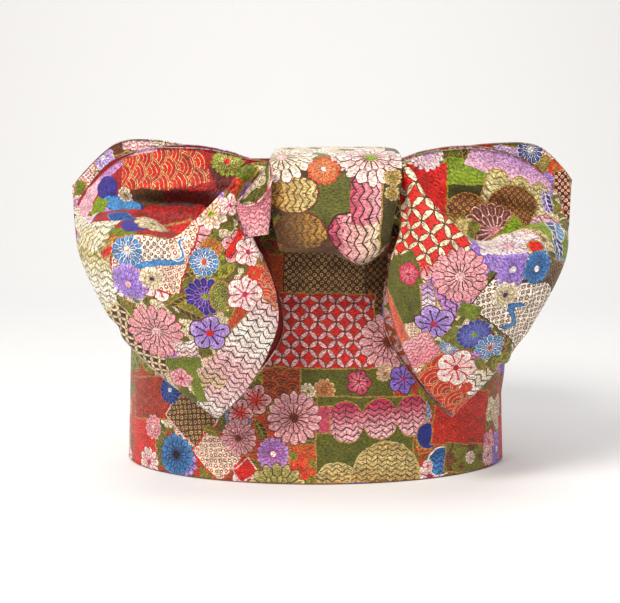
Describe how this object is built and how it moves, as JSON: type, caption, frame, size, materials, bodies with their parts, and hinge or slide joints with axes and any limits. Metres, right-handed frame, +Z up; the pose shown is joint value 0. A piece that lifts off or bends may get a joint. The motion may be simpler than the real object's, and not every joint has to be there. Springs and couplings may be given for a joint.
{
  "type": "obi sash tied in a bunko bow",
  "caption": "Brocade obi sash in its worn form: a wound waist band and, at the back, a bow of drooping loops gathered under a wrapped knot.",
  "frame": {"origin": "centre of the torso hollow, at the band's mid-height", "axes": "+Z up; -Y towards the wearer's back, where the bow sits; +X towards the wearer's right"},
  "size_m": [0.4304, 0.3556, 0.2931],
  "materials": {
    "brocade": "silk brocade with metallic gold threads"
  },
  "bodies": {
    "root": {"band_outer_turn": "brocade", "band_inner_turn": "brocade", "left_wing_front": "brocade", "left_wing_rear": "brocade", "right_wing_front": "brocade", "right_wing_rear": "brocade", "knot_cover": "brocade", "knot_cuff": "brocade"}
  },
  "joints": []
}
